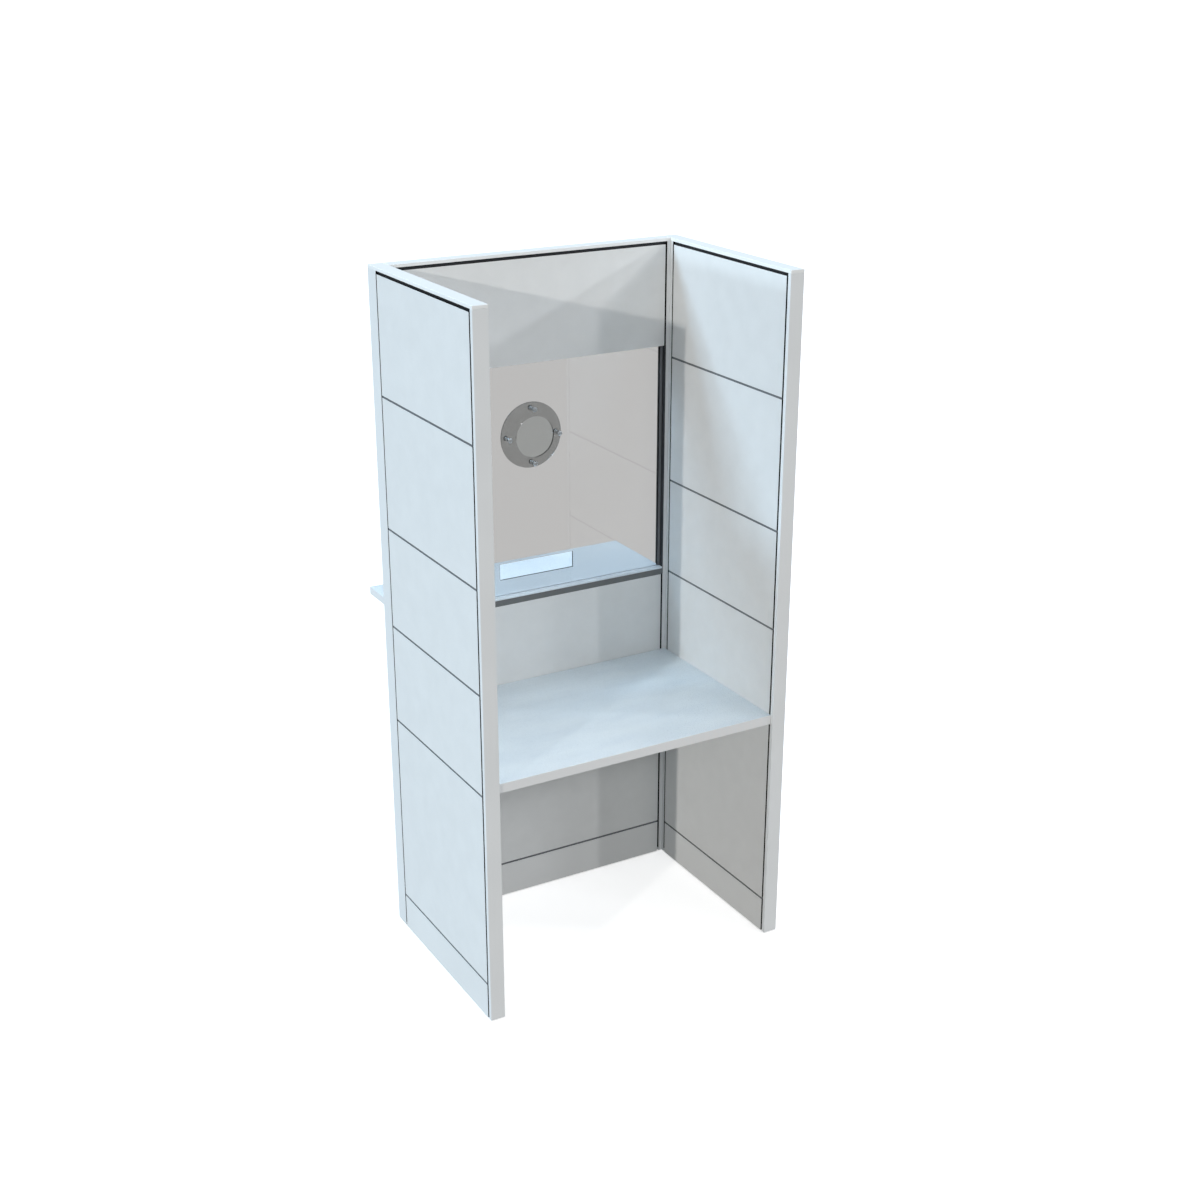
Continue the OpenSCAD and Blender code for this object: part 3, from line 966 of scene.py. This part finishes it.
@dataclass
class Framework(SubAssembly):
    """The charcoal frames, which stay as CAD, and the slotted strips seen in the side gaps."""

    strip_thickness: float = 0.8 * MM
    strip_margin: float = 0.7 * MM
    pitch: float = 25 * MM
    slot_height: float = 13 * MM
    slot_width: float = 3 * MM
    end_slack: float = 0.1 * MM
    window_clearance: float = 14 * MM

    def link(
        self, name: str, low: Vector, width: float, across: Axis, out: Vector
    ) -> bpy.types.Object:
        """Models one pitch of a slotted strip, with its slot cut through.

        Args:
            name: The piece's name.
            low: The low corner on the upright's face.
            width: The strip's width.
            across: The axis that the width lies along.
            out: The way the strip looks.

        Returns:
            The piece.
        """
        far = low + across.vector * width + out * self.strip_thickness + Axis.Z.vector * self.pitch
        corner, other = enclosing((low, far))
        piece = add_block(name, corner, other)
        middle = (corner + other) / 2
        # The inset leaves this height inside the rim, and the slot is stretched from it.
        inset_height = self.pitch - width + self.slot_width
        with Editing(piece) as edit:
            edit.choose_across(out)
            bpy.ops.mesh.inset(thickness=(width - self.slot_width) / 2, depth=0)
            bpy.ops.transform.resize(
                value=(1, 1, self.slot_height / inset_height), center_override=tuple(middle)
            )
            bpy.ops.mesh.bridge_edge_loops()
            edit.choose(
                "FACE",
                lambda face: abs(face.normal.z) > FACING_COSINE
                and abs(abs(face.calc_center_median().z - middle.z) - self.pitch / 2)
                < self.end_slack,
            )
            bpy.ops.mesh.delete(type="FACE")
        return piece

    def strip(
        self, name: str, low: Vector, width: float, height: float, across: Axis, out: Vector
    ) -> bpy.types.Object:
        """Models a whole strip from repeated pitches.

        Args:
            name: The piece's name.
            low: The low corner on the upright's face.
            width: The strip's width.
            height: The strip's height, at least.
            across: The axis that the width lies along.
            out: The way the strip looks.

        Returns:
            The piece.
        """
        piece = self.link(name, low, width, across, out)
        apply_modifier(
            piece,
            "ARRAY",
            count=max(1, int(height / self.pitch)),
            use_relative_offset=False,
            use_constant_offset=True,
            constant_offset_displace=(0, 0, self.pitch),
            use_merge_vertices=True,
            merge_threshold=MERGE_DISTANCE,
        )
        with Editing(piece):
            bpy.ops.mesh.select_mode(type="EDGE")
            bpy.ops.mesh.select_non_manifold(extend=False)
            bpy.ops.mesh.fill()
            bpy.ops.mesh.select_all(action="SELECT")
            bpy.ops.mesh.normals_make_consistent(inside=False)
        return piece

    def beside(
        self,
        label: str,
        gaps: Iterable[tuple[float, float, str]],
        heights: tuple[float, float],
        plane: float,
        across: Axis,
        looks: Vector,
    ) -> None:
        """Builds the strips in the two gaps beside a column of skins.

        Args:
            label: How the pieces' names start.
            gaps: The start, the end and the name of each gap.
            heights: The lower and the upper end of the strips.
            plane: Where the uprights' face lies across the wall.
            across: The axis that the gaps' widths lie along.
            looks: The way the strips look.
        """
        bottom, top = heights
        for start, end, place in gaps:
            near, width = start + self.strip_margin, end - start - 2 * self.strip_margin
            low = Vector((near, plane, bottom) if across is Axis.X else (plane, near, bottom))
            piece = self.repeat(
                f"strip {across.name} {sum(looks):.0f}",
                f"{label}_{place}_slotted_strip",
                (low, low + across.vector * width + Axis.Z.vector * (top - bottom)),
                lambda name, box: self.strip(name, box[0], width, top - bottom, across, looks),
            )
            issue(piece, STRIP)

    def wing_strips(self, side: str, face: str) -> None:
        """Builds the two strips beside the tiles of one wing face."""
        skin_low, skin_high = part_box(f"{side}_{face}_tile_1")
        frame_low, frame_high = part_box(f"{side}_wing_frame")
        looks = WallSkins.facing(f"{side}_{face}_tile_1").outward
        x = frame_high.x if looks.x > 0 else frame_low.x
        gaps = ((frame_low.y, skin_low.y, "front"), (skin_high.y, frame_high.y, "rear"))
        heights = (frame_low.z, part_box(f"{side}_{face}_tile_5")[1].z)
        self.beside(f"{side}_{face}", gaps, heights, x, Axis.Y, looks)

    def back_strips(self, face: str) -> None:
        """Builds the strips beside the back wall's tiles, under the counter and over the window."""
        tile_low, tile_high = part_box(f"back_{face}_tile_1")
        header_low, header_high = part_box(f"back_{face}_header")
        frame_low, frame_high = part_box("back_frame")
        post_low, post_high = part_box("left_wing_frame")
        looks = WallSkins.facing(f"back_{face}").outward
        y = (frame_low.y + frame_high.y) / 2 + looks.y * ((post_high.x - post_low.x) / 2)
        gaps = ((frame_low.x, tile_low.x, "left"), (tile_high.x, frame_high.x, "right"))
        for bottom, top, level in (
            (frame_low.z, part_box("counter_edging")[0].z, "lower"),
            (header_low.z + self.window_clearance, header_high.z, "upper"),
        ):
            self.beside(f"back_{face}_{level}", gaps, (bottom, top), y, Axis.X, looks)

    def build(self) -> None:
        """Dresses the frames and builds every strip."""
        for node in ("left_wing_frame", "right_wing_frame", "back_frame"):
            dress_node(node, FRAME)
        for side in ("left", "right"):
            for face in ("outer", "inner"):
                self.wing_strips(side, face)
        for face in ("room", "public"):
            self.back_strips(face)


@dataclass
class Boards(SubAssembly):
    """The worksurface and the counter: laminated boards with edge banding, on painted brackets."""

    band: float = 1.2 * MM
    board_radius: float = 0.4 * MM
    band_radius: float = 0.5 * MM
    nosing_height: float = 6 * MM
    nosing_radius: float = 1.8 * MM
    head_radius: float = 4.2 * MM
    head_height: float = 2.4 * MM
    head_bevel: float = 1.1 * MM
    recess_width: float = 1.1 * MM
    recess_depth: float = 1.4 * MM
    recess_share: float = 0.6
    shank_radius: float = 2.1 * MM

    def laminated(self, name: str, node: str, low: Point, high: Point) -> None:
        """Builds a board of laminate that stands for a CAD node."""
        board = soften(add_block(name, low, high), self.board_radius)
        issue(board, BOARD, replaces=[node])

    def worksurface(self) -> None:
        """Builds the worksurface and the banding along its front edge."""
        low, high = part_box("worksurface")
        self.laminated("worksurface_board", "worksurface", low + Vector((0, self.band, 0)), high)
        band = add_block("worksurface_front_band", low, (high.x, low.y + self.band, high.z))
        issue(soften(band, self.band_radius), BAND)

    def counter(self) -> None:
        """Builds the counter: pale bands on three edges, a nosing and dark edging on the fourth."""
        low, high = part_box("transaction_counter")
        inset = Vector((self.band, 0, 0))
        far = high - inset - Vector((0, self.band, 0))
        self.laminated("counter_board", "transaction_counter", low + inset, far)
        bands = {
            "counter_public_band": ((low.x, high.y - self.band, low.z), high),
            "counter_left_band": (low, (low.x + self.band, high.y - self.band, high.z)),
            "counter_right_band": (
                (high.x - self.band, low.y, low.z),
                (high.x, high.y - self.band, high.z),
            ),
        }
        for name, corners in bands.items():
            issue(self.block("band", name, corners, self.band_radius), BAND)
        edge_low, edge_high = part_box("counter_edging")
        split = edge_high.z - self.nosing_height
        lower = (edge_low, (edge_high.x, edge_high.y, split))
        upper = ((edge_low.x, edge_low.y, split), edge_high)
        edging = self.block("edging", "counter_inner_edging", lower, self.band_radius)
        issue(edging, EDGING, replaces=["counter_edging"])
        nosing = self.block("nosing", "counter_inner_nosing", upper, self.nosing_radius)
        issue(nosing, BOARD)

    def screw(self, name: str, box: Box) -> bpy.types.Object:
        """Models one pan-head screw, seen from below, with a cross recess.

        Args:
            name: The piece's name.
            box: The CAD screw's corners.

        Returns:
            The piece.
        """
        low, high = box
        middle = (low + high) / 2
        shank_base = low.z + self.head_height
        head = add_upright_rod(name, middle, self.head_radius, low.z, shank_base, sides=32)
        with Editing(head) as edit:
            edit.choose_facing(-Axis.Z.vector)
            bpy.ops.mesh.bevel(offset=self.head_bevel, segments=3, affect="EDGES")
        reach, half = self.head_radius * self.recess_share, self.recess_width / 2
        arms = [
            add_block(
                "recess",
                (middle.x - x, middle.y - y, low.z - TOOL_PROUD),
                (middle.x + x, middle.y + y, low.z + self.recess_depth),
            )
            for x, y in ((reach, half), (half, reach))
        ]
        cut(head, arms)
        shank = add_upright_rod(
            name + "_shank", middle, self.shank_radius, shank_base, high.z, sides=20
        )
        return shade(join(name, [head, shank]))

    def build(self) -> None:
        """Builds the boards, the screws and the brackets' paint."""
        self.worksurface()
        self.counter()
        for node in ("worksurface_brackets", "counter_brackets"):
            dress_node(node, BRACKET)
        for number, box in enumerate(solid_boxes("surface_screws"), start=1):
            piece = self.repeat("screw", f"board_screw_{number}", box, self.screw)
            issue(piece, ZINC, replaces=["surface_screws"])


@dataclass
class Window(SubAssembly):
    """The glass with its channels and gaskets, and the speak-through disc on its four standoffs."""

    gasket_depth: float = 4 * MM
    gasket_proud: float = 0.8 * MM
    gasket_radius: float = 0.6 * MM
    channel_lip: float = 1.5 * MM
    disc_rim_radius: float = 1.0 * MM
    hole_clearance: float = 0.2 * MM
    drill_length: float = 20 * MM
    # The grooves' edges and their middle, as shares of a standoff's length, and their depth.
    groove_edges: tuple[float, ...] = (0.2, 0.28, 0.72, 0.8)
    groove_place: float = 0.26
    groove_slack: float = 0.03
    groove_share: float = 0.9
    standoff_radius: float = 0.3 * MM
    socket_radius: float = 2.6 * MM
    socket_depth: float = 1.8 * MM
    bolt_radius: float = 4 * MM
    dome_share: float = 0.8

    def gaskets(self) -> None:
        """Builds the rubber wedges between the glass and its channels' lips."""
        glass_low, glass_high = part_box("glass_pane")
        for number, (low, high) in enumerate(solid_boxes("glazing_frame"), start=1):
            is_head = high.x - low.x > high.z - low.z
            for face, glass_y, lip_y in (
                ("room", glass_low.y, low.y + self.channel_lip),
                ("public", glass_high.y, high.y - self.channel_lip),
            ):
                near, far = sorted((glass_y, lip_y))
                start, end = low.copy(), high.copy()
                start.y, end.y = near, far
                if is_head:
                    start.x, end.x = glass_low.x, glass_high.x
                    start.z, end.z = low.z, low.z + self.gasket_depth
                elif low.x < 0:
                    start.x, end.x = high.x - self.gasket_depth, high.x + self.gasket_proud
                else:
                    start.x, end.x = low.x - self.gasket_proud, low.x + self.gasket_depth
                piece = self.block(
                    "gasket", f"glazing_gasket_{number}_{face}", (start, end), self.gasket_radius
                )
                issue(piece, RUBBER)

    def disc(self) -> None:
        """Builds the disc, with its rim rounded and four bolt holes through it."""
        low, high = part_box("speak_disc")
        middle = (low + high) / 2
        piece = add_rod(
            "speak_through_disc", middle, (high.x - low.x) / 2, high.y - low.y, Axis.Y, sides=128
        )
        soften(piece, self.disc_rim_radius, segments=3)
        drills = [
            add_rod(
                "drill",
                ((bolt[0].x + bolt[1].x) / 2, middle.y, (bolt[0].z + bolt[1].z) / 2),
                self.bolt_radius + self.hole_clearance,
                self.drill_length,
                Axis.Y,
                sides=32,
            )
            for bolt in solid_boxes("speak_bolts")
        ]
        cut(piece, drills)
        issue(shade(piece), DISC, replaces=["speak_disc"])

    def standoff(self, name: str, box: Box) -> bpy.types.Object:
        """Models one turned barrel, with a groove near each end."""
        low, high = box
        middle = (low + high) / 2
        radius = (high.x - low.x) / 2
        length = high.y - low.y
        piece = add_rod(name, middle, radius, length, Axis.Y)
        with Editing(piece) as edit:
            for share in self.groove_edges:
                bpy.ops.mesh.select_all(action="SELECT")
                bpy.ops.mesh.bisect(plane_co=(0, low.y + length * share, 0), plane_no=(0, 1, 0))
            edit.choose(
                "FACE",
                lambda face: abs(face.normal.y) < SQUARE_COSINE
                and abs(abs(face.calc_center_median().y - middle.y) / length - self.groove_place)
                < self.groove_slack,
            )
            share = self.groove_share
            bpy.ops.transform.resize(value=(share, 1, share), center_override=tuple(middle))
        return soften(piece, self.standoff_radius)

    def bolt(self, name: str, box: Box) -> bpy.types.Object:
        """Models one bolt: a domed head with a hex socket at each end, and its shank.

        Args:
            name: The piece's name.
            box: The CAD bolt's corners.

        Returns:
            The piece.
        """
        low, high = box
        middle = (low + high) / 2
        radius = (high.x - low.x) / 2
        head_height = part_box("glass_pane")[0].y - low.y
        parts = []
        for end_y, out in ((low.y, -1), (high.y, 1)):
            centre = (middle.x, end_y - out * head_height / 2, middle.z)
            head = add_rod(name, centre, radius, head_height, Axis.Y, sides=40)
            with Editing(head) as edit:
                edit.choose_facing(Vector((0, out, 0)))
                offset = head_height * self.dome_share
                bpy.ops.mesh.bevel(offset=offset, segments=5, affect="EDGES")
            socket = add_rod(
                "socket",
                (middle.x, end_y - out * (self.socket_depth - TOOL_PROUD) / 2, middle.z),
                self.socket_radius,
                self.socket_depth + TOOL_PROUD,
                Axis.Y,
                sides=6,
            )
            cut(head, [socket])
            parts.append(head)
        length = high.y - low.y - 2 * head_height
        shank = add_rod(name + "_shank", middle, self.bolt_radius, length, Axis.Y, sides=32)
        return shade(join(name, [*parts, shank]))

    def build(self) -> None:
        """Builds the window's pieces."""
        dress_node("glass_pane", GLASS)
        dress_node("glazing_frame", CHANNEL)
        self.gaskets()
        self.disc()
        for pattern, model in (("speak_standoff", self.standoff), ("speak_bolt", self.bolt)):
            for number, box in enumerate(solid_boxes(pattern + "s"), start=1):
                piece = self.repeat(pattern, f"{pattern}_{number}", box, model)
                issue(piece, HARDWARE, replaces=[pattern + "s"])


@dataclass
class Feet(SubAssembly):
    """The levelling glides: a rubber pad, a turned foot, a hex collar and a threaded stem."""

    pad_height: float = 1.4 * MM
    pad_inset: float = 1 * MM
    foot_height: float = 7 * MM
    collar_radius: float = 7.4 * MM
    collar_height: float = 4.6 * MM
    stem_radius: float = 4.95 * MM
    pitch: float = 1.5 * MM
    thread_depth: float = 0.12
    foot_edge: float = 1.2 * MM
    collar_edge: float = 0.5 * MM
    pad_edge: float = 0.4 * MM

    def stem(self, name: str, centre: Vector, bottom: float, top: float) -> bpy.types.Object:
        """Models the threaded stem as closely spaced ridges.

        Args:
            name: The part's name.
            centre: The glide's axis, at any height.
            bottom: The stem's lower end.
            top: The stem's upper end.

        Returns:
            The stem.
        """
        length = top - bottom
        part = add_upright_rod(name, centre, self.stem_radius, bottom, top, sides=24)
        cuts = 2 * int(length / self.pitch) - 1
        with Editing(part) as edit:
            edit.choose(
                "EDGE",
                lambda edge: abs(edge.verts[0].co.z - edge.verts[1].co.z) > length / 2,
            )
            bpy.ops.mesh.subdivide(number_cuts=cuts)
            step = length / (cuts + 1)
            edit.choose("VERT", lambda vert: round((vert.co.z - bottom) / step) % 2 == 1)
            share = 1 - self.thread_depth
            bpy.ops.transform.resize(
                value=(share, share, 1), center_override=(centre.x, centre.y, 0)
            )
        return part

    def metal(self, name: str, box: Box) -> bpy.types.Object:
        """Models a glide's foot, hex collar and stem, from the glide's name and box."""
        low, high = box
        centre = (low + high) / 2
        foot_low, foot_top = low.z + self.pad_height, low.z + self.foot_height
        collar_top = foot_top + self.collar_height
        foot = add_upright_rod(name, centre, (high.x - low.x) / 2, foot_low, foot_top)
        soften(foot, self.foot_edge, segments=3)
        collar = add_upright_rod(
            name + "_collar", centre, self.collar_radius, foot_top, collar_top, sides=6
        )
        soften(collar, self.collar_edge)
        stem = self.stem(name + "_stem", centre, collar_top, high.z)
        return shade(join(name, [foot, collar, stem]))

    def pad(self, name: str, box: Box) -> bpy.types.Object:
        """Models the rubber pad under a glide's foot, from the glide's name and box."""
        low, high = box
        radius = (high.x - low.x) / 2 - self.pad_inset
        top = low.z + self.pad_height
        piece = add_upright_rod(name, (low + high) / 2, radius, low.z, top)
        return soften(piece, self.pad_edge)

    def build(self) -> None:
        """Builds all six glides, each riding on its own body."""
        for node in sorted(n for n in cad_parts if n.endswith("_glide")):
            metal = self.repeat("metal", node + "_metal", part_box(node), self.metal)
            issue(metal, ZINC, body=node, replaces=[node])
            pad = self.repeat("pad", node + "_pad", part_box(node), self.pad)
            issue(pad, RUBBER, body=node)


# ---------------------------------------------------------------- stage


@dataclass(frozen=True)
class Sun:
    """A far, soft-edged studio light."""

    name: str
    towards: Point
    colour: str
    strength: float
    spread_deg: float

    def build(self) -> None:
        """Adds the light, shining along its direction."""
        data = bpy.data.lights.new(self.name, "SUN")
        data.energy = self.strength
        data.color = linear(self.colour)[:3]
        data.angle = math.radians(self.spread_deg)
        light = bpy.data.objects.new(self.name, data)
        light.rotation_euler = Vector(self.towards).to_track_quat("-Z", "Y").to_euler()
        bpy.context.scene.collection.objects.link(light)


@dataclass
class Studio:
    """The pale floor, the soft light and the camera."""

    floor_colour: str = "#f6f6f6"
    floor_glow: float = 0.6
    floor_half: float = 300.0
    world_colour: str = "#fbfbfa"
    world_strength: float = 0.25
    seen_through_strength: float = 0.78
    seen_strength: float = 1.06
    camera_place: Point = (-2.3945, -4.3951, 3.0173)
    camera_pitch_deg: float = 21.96
    camera_yaw_deg: float = 29.77
    lens_mm: float = 52.09
    sensor_mm: float = 36.0
    sees_to: float = 2000.0
    shift: tuple[float, float] = (0.0013, 0.0222)

    def suns(self) -> list[Sun]:
        """The studio's lights."""
        return [
            Sun("low front-left light", (0.843, 0.483, -0.235), "#fffaf4", 0.9, 1.0),
            Sun("rear-left skylight", (0.537, -0.484, -0.691), "#c6e7ff", 1.45, 10.0),
            Sun("left skylight", (0.70, -0.30, -0.62), "#c6e7ff", 0.75, 6.0),
            Sun("low left light", (0.99, 0.0, -0.06), "#dcf1ff", 0.66, 3.0),
            Sun("front-right light", (-0.36, 0.89, -0.28), "#ffffff", 0.28, 2.0),
            Sun("right light", (-0.80, 0.52, -0.35), "#f4faff", 0.6, 3.0),
            Sun("upper front-right light", (-0.50, 0.72, -0.48), "#f8fbff", 0.32, 10.0),
            Sun("camera-side light", (0.25, 0.82, -0.50), "#f8fbff", 0.34, 8.0),
            Sun("overhead light", (-0.2, -0.25, -1.0), "#eaf5ff", 1.25, 25.0),
        ]

    def floor(self) -> None:
        """Adds the plain pale floor."""
        deselect()
        bpy.ops.mesh.primitive_plane_add(size=2 * self.floor_half, location=(0, 0, 0))
        floor = bpy.context.object
        floor.name = "studio_floor"
        paper = Finish("studio floor paper", self.floor_colour, 0.9).material()
        shader = next(n for n in paper.node_tree.nodes if n.type == "BSDF_PRINCIPLED")
        shader.inputs["Emission Color"].default_value = linear("#ffffff")
        shader.inputs["Emission Strength"].default_value = self.floor_glow
        floor.data.materials.append(paper)
        # The lamps and the even light are what lights the booth, not the glow of the paper.
        floor.visible_diffuse = floor.visible_glossy = floor.visible_transmission = False

    def world(self) -> None:
        """Adds the even light from all round."""
        world = bpy.data.worlds.new("studio")
        world.use_nodes = True
        tree = world.node_tree
        colour = linear(self.world_colour)
        path = add_node(tree, "ShaderNodeLightPath")
        shader = tree.nodes["Background"]
        shader.inputs["Strength"].default_value = self.world_strength
        for strength, ray in (
            (self.seen_through_strength, "Is Transmission Ray"),
            (self.seen_strength, "Is Camera Ray"),
        ):
            seen = add_node(tree, "ShaderNodeBackground", {"Color": colour, "Strength": strength})
            links = {0: path.outputs[ray], 1: shader.outputs[0], 2: seen.outputs[0]}
            shader = add_node(tree, "ShaderNodeMixShader", links=links)
        tree.nodes["Background"].inputs["Color"].default_value = colour
        tree.links.new(shader.outputs[0], tree.nodes["World Output"].inputs["Surface"])
        bpy.context.scene.world = world

    def camera(self) -> None:
        """Adds the camera."""
        data = bpy.data.cameras.new("camera")
        data.lens, data.sensor_width = self.lens_mm, self.sensor_mm
        data.shift_x, data.shift_y = self.shift
        data.clip_end = self.sees_to
        camera = bpy.data.objects.new("camera", data)
        camera.location = self.camera_place
        camera.rotation_euler = (
            math.radians(90 - self.camera_pitch_deg),
            0,
            -math.radians(self.camera_yaw_deg),
        )
        bpy.context.scene.collection.objects.link(camera)
        bpy.context.scene.camera = camera

    def build(self) -> None:
        """Builds the stage."""
        self.camera()
        self.floor()
        self.world()
        for sun in self.suns():
            sun.build()
        bpy.context.scene.view_settings.view_transform = "Standard"


def main() -> None:
    """Builds each sub-assembly in order."""
    logging.basicConfig(level=logging.INFO, format="%(name)s: %(message)s")
    for assembly in (Studio(), Framework(), Extrusions(), WallSkins(), Boards(), Window(), Feet()):
        log.info("building %s", type(assembly).__name__)
        assembly.build()
    deselect()


if __name__ == "__main__":
    main()
